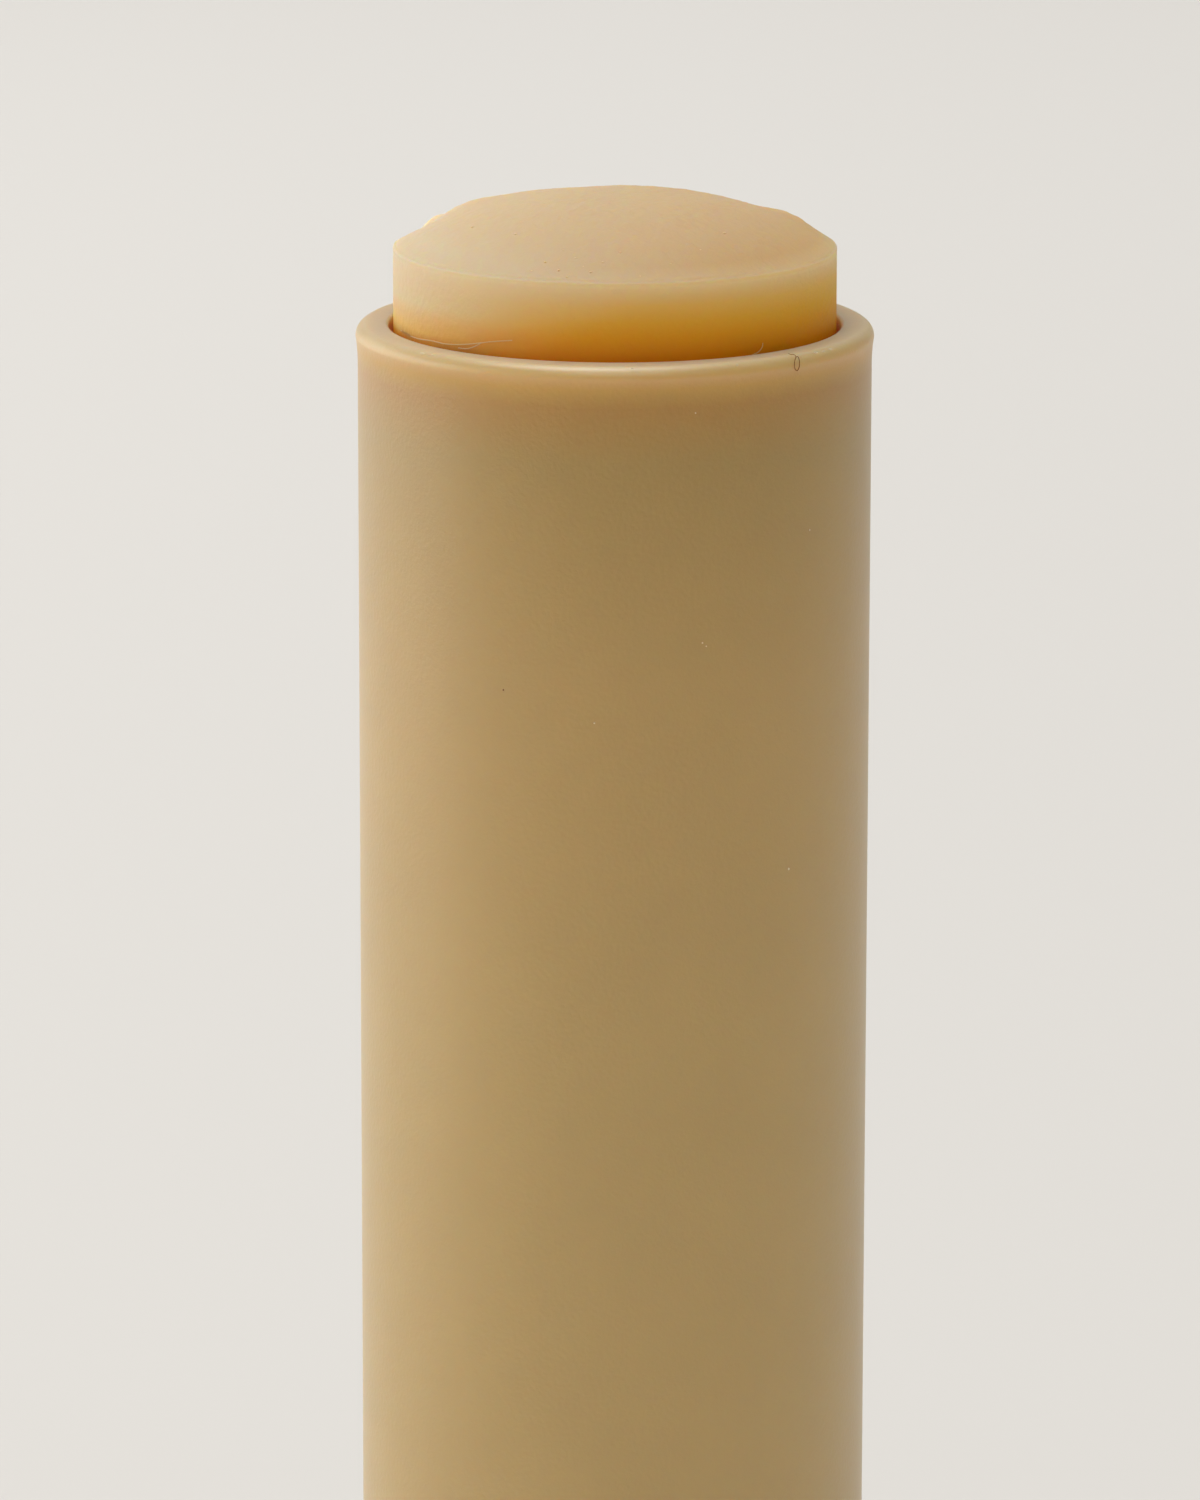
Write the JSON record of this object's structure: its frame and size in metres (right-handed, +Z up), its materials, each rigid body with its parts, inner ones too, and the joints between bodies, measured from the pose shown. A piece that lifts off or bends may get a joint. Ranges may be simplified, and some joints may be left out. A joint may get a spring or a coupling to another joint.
{
  "type": "lip balm",
  "caption": "Twist-up lip balm: a straight tan tube with a grip dial at its foot; turning the dial drives a screw that raises a cup and the domed balm stick.",
  "frame": {"origin": "centre of the dial's foot, on the surface that the lip balm stands on", "axes": "+Z up along the tube's axis, from the dial to the balm; +X and +Y across the tube, with the cup's fins on both"},
  "size_m": [0.0162, 0.0162, 0.064],
  "materials": {
    "tube_plastic": "fine matte, slightly translucent tan",
    "dial_plastic": "fine matte, slightly translucent tan",
    "cup_plastic": "natural translucent, smooth",
    "balm_wax": "waxy, translucent beeswax tan"
  },
  "bodies": {
    "barrel": {"tube": "tube_plastic"},
    "dial": {"twist_dial": "dial_plastic"},
    "lift": {"lift_cup": "cup_plastic", "balm": "balm_wax"}
  },
  "joints": [
    {"name": "dial_spin", "type": "hinge", "parent": "barrel", "child": "dial", "pos_m": [0, 0, 0.0105], "axis": [0, 0, 1], "range_deg": [-469, 2980]},
    {"name": "balm_lift", "type": "slide", "parent": "barrel", "child": "lift", "axis": [0, 0, 1], "range_m": [-0.0052, 0.0331]}
  ],
  "couplings": [
    {"joint": "dial_spin", "follows": "balm_lift", "rad_per_m": 1570.8}
  ]
}
